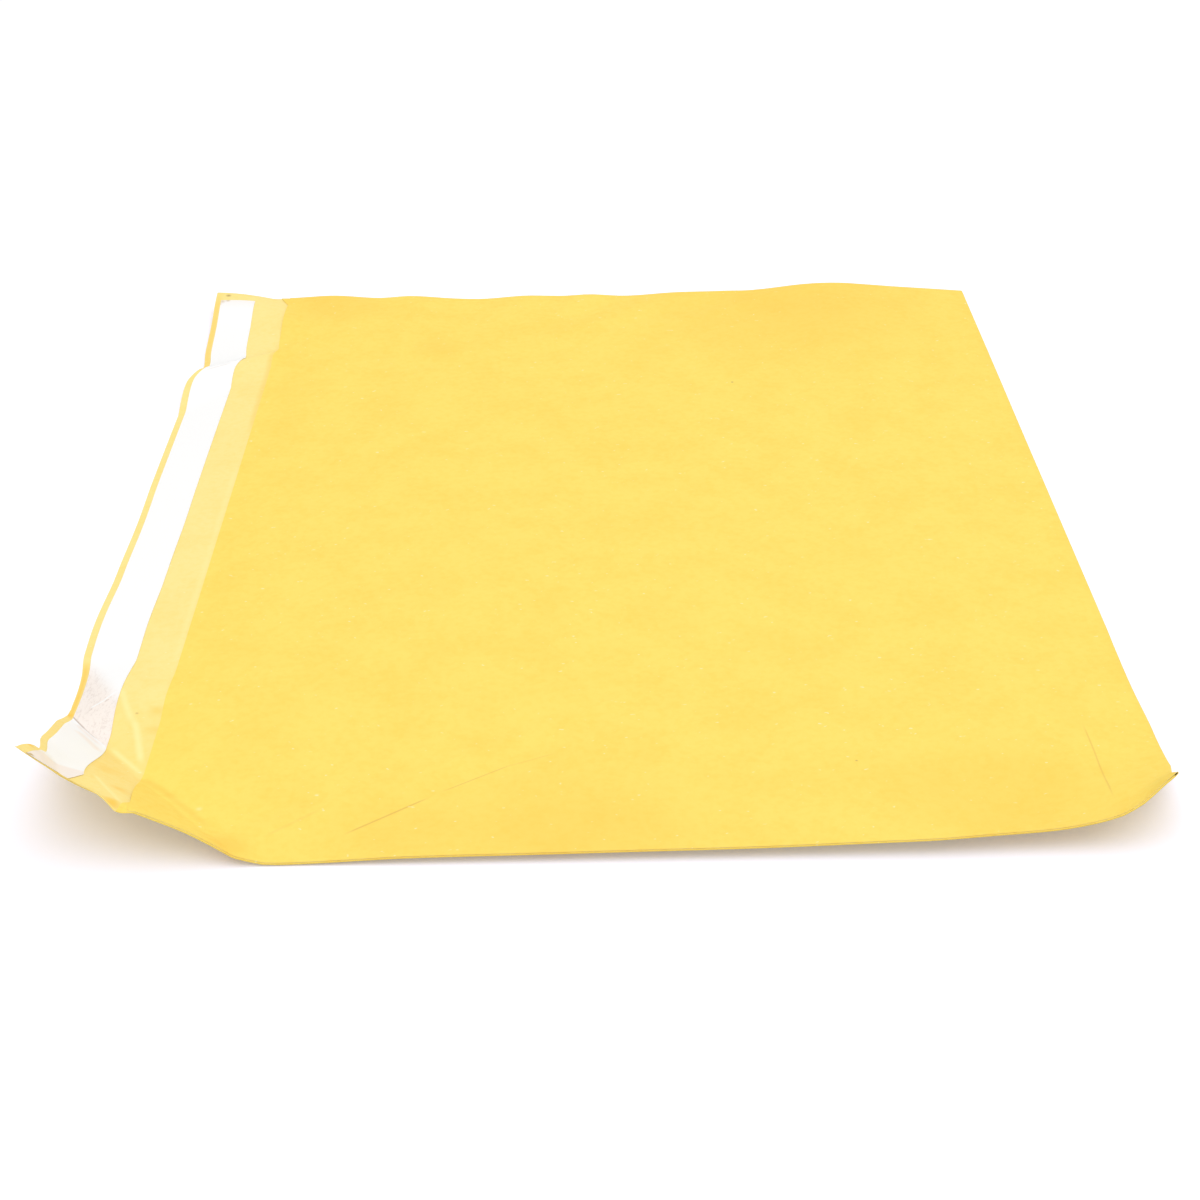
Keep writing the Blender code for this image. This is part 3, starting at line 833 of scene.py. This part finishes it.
def liner_material():
    """Siliconed paper: white. The facet between the two creases that crumpled it is tinted for dirt and
    painted shade together, the strip beyond the tip fold is tinted as painted shade, and the crease lines are
    darkened partly with painted shade.
    """
    colours = bpy.context.scene.envelope_colours
    scuff_and_shade = (*colours.scuff_and_shade, 1.0)
    graph = Graph("siliconed liner paper")
    where = sheet_place(graph)
    # The facet between the creases takes the tint as dirt and painted shade together; the strip beyond the tip
    # fold takes it as painted shade.
    facet = graph.left_of(where, *CREASE_LINE, 0.0003)
    facet = facet * (1.0 - graph.left_of(where, *SCUFF_AND_SHADE_END, 0.0060))
    tip = 1.0 - graph.left_of(where, *TIP_LINE, 0.0014)
    end = graph.ramp(graph.vector("DOT_PRODUCT", where, (0.0, 1.0, 0.0), output=1), 0.309, 0.318)
    strokes = graph.ramp(graph.noise(where, 0.0006, 3.0, 0.7, stretch=(1.0, 0.4, 1.0)), 0.48, 0.68)
    colour = graph.mix(facet * 0.65 + tip * 0.60 + end * 0.35, (*colours.liner, 1.0), scuff_and_shade)
    colour = graph.mix(facet * strokes * 0.30, colour, (*colours.rubbed_and_crease_shade, 1.0))
    colour = graph.marks(where, colour, LINER_TINTS, scuff_and_shade)
    # Crease lines, partly painted shade in the creases.
    colour = graph.marks(where, colour, LINER_CREASES_AND_SHADE, (*colours.rubbed_and_crease_shade, 1.0))
    colour = graph.marks(where, colour, LINER_SCRATCHES, (*colours.liner, 1.0))
    colour = graph.marks(where, colour, LINER_SPECKS_AND_SLIT_SHADE, (*colours.smudge, 1.0))
    height = fibre_height(graph, where) * 0.2 + strokes * facet * 0.5
    return graph.finish(colour, 0.45, height, 0.00003)


def adhesive_material():
    colours = bpy.context.scene.envelope_colours
    graph = Graph("hot-melt adhesive")
    where = sheet_place(graph)
    streaks = graph.noise(where, 0.002, 2.0, 0.5, stretch=(3.0, 0.6, 1.0))
    colour = graph.mix(streaks * 0.3, (*colours.adhesive, 1.0), (*colours.liner, 1.0))
    return graph.finish(colour, 0.25, streaks, 0.00008)


class EnvelopeColours(bpy.types.PropertyGroup):
    """Colours of the paper and of the marks on it, as linear values."""

    kraft: bpy.props.FloatVectorProperty(
        name="Kraft", description="Golden outside of the paper", subtype="COLOR", default=(0.99, 0.745, 0.145)
    )
    kraft_deep: bpy.props.FloatVectorProperty(
        name="Kraft, deep", description="Denser patches", subtype="COLOR", default=(0.97, 0.670, 0.108)
    )
    kraft_pale: bpy.props.FloatVectorProperty(
        name="Kraft, pale", description="Pale fibre flecks", subtype="COLOR", default=(1.0, 0.93, 0.52)
    )
    inside: bpy.props.FloatVectorProperty(
        name="Inside", description="Paler inside of the paper", subtype="COLOR", default=(0.985, 0.80, 0.295)
    )
    inside_deep: bpy.props.FloatVectorProperty(
        name="Inside, deep", description="Denser patches", subtype="COLOR", default=(0.97, 0.745, 0.230)
    )
    # This colour paints highlights along the flap's creases and its mouth edge.
    inside_highlight: bpy.props.FloatVectorProperty(
        name="Inside, pale", description="Rubbed streaks inside", subtype="COLOR", default=(0.98, 0.86, 0.37)
    )
    # Besides stains and crumpled places, this colour paints shade: where the back panel's far edge bends up,
    # and on the far part of the flap's margin.
    amber: bpy.props.FloatVectorProperty(
        name="Amber", description="Stained and crumpled places", subtype="COLOR", default=(0.97, 0.60, 0.090)
    )
    edge: bpy.props.FloatVectorProperty(
        name="Cut edge", description="Cut edge of the paper", subtype="COLOR", default=(0.98, 0.78, 0.28)
    )
    crease: bpy.props.FloatVectorProperty(
        name="Crease", description="Rubbed crease lines", subtype="COLOR", default=(0.70, 0.42, 0.09)
    )
    smudge: bpy.props.FloatVectorProperty(
        name="Smudge", description="Smudges and specks", subtype="COLOR", default=(0.55, 0.38, 0.12)
    )
    liner: bpy.props.FloatVectorProperty(
        name="Liner", description="White release paper", subtype="COLOR", default=(0.985, 0.98, 0.97)
    )
    # This colour paints both dirt and painted shade on the liner.
    scuff_and_shade: bpy.props.FloatVectorProperty(
        name="Scuff", description="Rubbed dirt on the liner", subtype="COLOR", default=(0.93, 0.80, 0.70)
    )
    # Grey of the strokes on the dirty facet and of the crease lines, whose darkness is partly painted shade.
    rubbed_and_crease_shade: bpy.props.FloatVectorProperty(
        name="Rubbed", description="Creases on the liner", subtype="COLOR", default=(0.60, 0.49, 0.42)
    )
    adhesive: bpy.props.FloatVectorProperty(
        name="Adhesive", description="Adhesive under the liner", subtype="COLOR", default=(0.90, 0.86, 0.74)
    )


class EnvelopeLight(bpy.types.PropertyGroup):
    """The studio around the envelope."""

    key_watts: bpy.props.FloatProperty(name="Key", description="Power of the soft box", default=21.3, min=0.0)
    fill: bpy.props.FloatProperty(name="Fill", description="Strength of the sky", default=0.45, min=0.0)
    floor_lift: bpy.props.FloatProperty(
        name="Floor lift", description="White added to the floor for the camera", default=0.22, min=0.0
    )


class FoldSheet(bpy.types.Operator):
    """Cut the blank, fold it, and lay it down with its flap open"""

    bl_idname = "envelope.fold_sheet"
    bl_label = "Folded sheet"

    def execute(self, context):
        colours = context.scene.envelope_colours
        bm = die_cut_blank()
        grid_the_blank(bm)
        mark_faces_of_blank(bm)
        fold_side_tabs(bm)
        fold_back_panel(bm)
        lay_down(bm)
        outside = kraft_material("kraft outside", colours.kraft, colours.kraft_deep, outside_marks)
        inside = kraft_material("kraft inside", colours.inside, colours.inside_deep, inside_marks)
        edge = kraft_material("kraft cut edge", colours.edge, colours.kraft_deep, outside_marks)
        sheet = add_piece("folded_sheet", bm, [outside, inside, edge])
        place_piece(sheet, "envelope")
        return {"FINISHED"}


class SpreadAdhesive(bpy.types.Operator):
    """Lay the adhesive band on the flap, under the liner"""

    bl_idname = "envelope.spread_adhesive"
    bl_label = "Adhesive band"

    def execute(self, context):
        near_end = FLAP_SIDE_STEP + ADHESIVE_END_GAP
        far_end = POCKET_DEPTH - FLAP_SIDE_STEP - ADHESIVE_END_GAP
        left, right = strip_sides(ADHESIVE_WIDTH)
        outline = [(left, near_end), (right, near_end), (right, far_end), (left, far_end)]
        bm = flat_strip(outline, PAPER + SEAT_GAP, ADHESIVE_THICKNESS)
        lay_down(bm)
        band = add_piece("adhesive_strip", bm, [adhesive_material()])
        place_piece(band, "adhesive_band")
        return {"FINISHED"}


class LayLiner(bpy.types.Operator):
    """Lay the release liner over the adhesive"""

    bl_idname = "envelope.lay_liner"
    bl_label = "Release liner"

    def execute(self, context):
        near_end = FLAP_SIDE_STEP + LINER_NEAR_GAP
        far_end = POCKET_DEPTH - FLAP_SIDE_STEP - LINER_FAR_GAP
        left, right = strip_sides(LINER_WIDTH)
        torn = [(right - LINER_CORNER_SIDE, near_end), (right, near_end + LINER_CORNER_RUN)]
        outline = [(left, near_end), *torn, (right, far_end), (left, far_end)]
        bm = flat_strip(outline, PAPER + 2 * SEAT_GAP + ADHESIVE_THICKNESS, LINER_THICKNESS)
        lay_down(bm)
        liner = add_piece("liner_strip", bm, [liner_material()])
        place_piece(liner, "release_liner")
        return {"FINISHED"}


def floor_material(lift):
    """White floor that keeps its shadows. The camera sees it a little lighter, so that it ends in white."""
    graph = Graph("white table")
    rays = graph.node("LightPath")
    seen = graph.link(rays, "Is Camera Ray").math("MAXIMUM", graph.link(rays, "Is Glossy Ray"))
    seen = seen.math("MAXIMUM", graph.link(rays, "Is Transmission Ray"))
    paint = graph.node("BsdfDiffuse", {}, {"Color": (0.86, 0.85, 0.95, 1.0)})
    glow = graph.node("Emission", {}, {"Color": (0.96, 0.96, 1.0, 1.0), "Strength": seen * lift})
    both = graph.node("AddShader", {}, {0: graph.link(paint), 1: graph.link(glow)})
    graph.node("OutputMaterial", {}, {"Surface": graph.link(both)})
    return graph.material


def soft_box(name, place, aim, size, watts):
    lamp = bpy.data.lights.new(name, "AREA")
    lamp.shape = "SQUARE"
    lamp.size = size
    lamp.energy = watts
    holder = bpy.data.objects.new(name, lamp)
    holder.location = place
    holder.rotation_euler = (Vector(aim) - Vector(place)).to_track_quat("-Z", "Y").to_euler()
    bpy.context.scene.collection.objects.link(holder)


class SetStage(bpy.types.Operator):
    """Set up the white table, the soft light and the camera"""

    bl_idname = "envelope.set_stage"
    bl_label = "Stage"

    def execute(self, context):
        scene = context.scene
        light = scene.envelope_light
        bm = bmesh.new()
        bmesh.ops.create_grid(bm, x_segments=1, y_segments=1, size=6.0)
        table = add_piece("table", bm, [floor_material(light.floor_lift)])
        soft_box("key_box", (0.10, -0.06, 1.25), (0.0, 0.0, 0.0), 2.4, light.key_watts)
        self.set_world(scene, light.fill)
        self.set_camera(scene)
        scene.view_settings.view_transform = "Standard"
        return {"FINISHED"}

    def set_world(self, scene, fill):
        world = bpy.data.worlds.new("studio")
        scene.world = world
        world.use_nodes = True
        nodes, links = world.node_tree.nodes, world.node_tree.links
        nodes.clear()
        rays = nodes.new("ShaderNodeLightPath")
        seen = nodes.new("ShaderNodeMath")
        seen.operation = "MAXIMUM"
        links.new(rays.outputs["Is Camera Ray"], seen.inputs[0])
        links.new(rays.outputs["Is Transmission Ray"], seen.inputs[1])
        strength = nodes.new("ShaderNodeMapRange")
        strength.inputs["To Min"].default_value = fill
        links.new(seen.outputs[0], strength.inputs["Value"])
        sky = nodes.new("ShaderNodeBackground")
        sky.inputs["Color"].default_value = (1.0, 1.0, 1.0, 1.0)
        links.new(strength.outputs[0], sky.inputs["Strength"])
        end = nodes.new("ShaderNodeOutputWorld")
        links.new(sky.outputs[0], end.inputs["Surface"])

    def set_camera(self, scene):
        lens = bpy.data.cameras.new("camera")
        lens.sensor_width = SENSOR_WIDTH
        lens.lens = CAMERA_FOCAL_PIXELS / PHOTO_PIXELS * SENSOR_WIDTH
        lens.clip_start = 0.01
        holder = bpy.data.objects.new("camera", lens)
        yaw = Matrix.Rotation(CAMERA_YAW, 3, "Z")
        dip = Matrix.Rotation(math.pi / 2 - CAMERA_DIP, 3, "X")
        roll = Matrix.Rotation(CAMERA_ROLL, 3, "Z")
        turn = (yaw @ dip @ roll).to_4x4()
        holder.matrix_world = Matrix.Translation(CAMERA_PLACE - CENTRE) @ turn
        scene.collection.objects.link(holder)
        scene.camera = holder


class EnvelopePanel(bpy.types.Panel):
    """Buttons for the pieces of the envelope"""

    bl_idname = "VIEW3D_PT_envelope"
    bl_label = "Kraft Envelope"
    bl_space_type = "VIEW_3D"
    bl_region_type = "UI"
    bl_category = "Envelope"

    def draw(self, context):
        for operator in OPERATORS:
            self.layout.operator(operator.bl_idname)


OPERATORS = (FoldSheet, SpreadAdhesive, LayLiner, SetStage)
CLASSES = (EnvelopeColours, EnvelopeLight, *OPERATORS, EnvelopePanel)


def register():
    for cls in CLASSES:
        bpy.utils.register_class(cls)
    bpy.types.Scene.envelope_colours = bpy.props.PointerProperty(type=EnvelopeColours)
    bpy.types.Scene.envelope_light = bpy.props.PointerProperty(type=EnvelopeLight)


def unregister():
    del bpy.types.Scene.envelope_light
    del bpy.types.Scene.envelope_colours
    for cls in reversed(CLASSES):
        bpy.utils.unregister_class(cls)


def main():
    register()
    bpy.ops.envelope.fold_sheet()
    bpy.ops.envelope.spread_adhesive()
    bpy.ops.envelope.lay_liner()
    bpy.ops.envelope.set_stage()


if __name__ == "__main__":
    main()
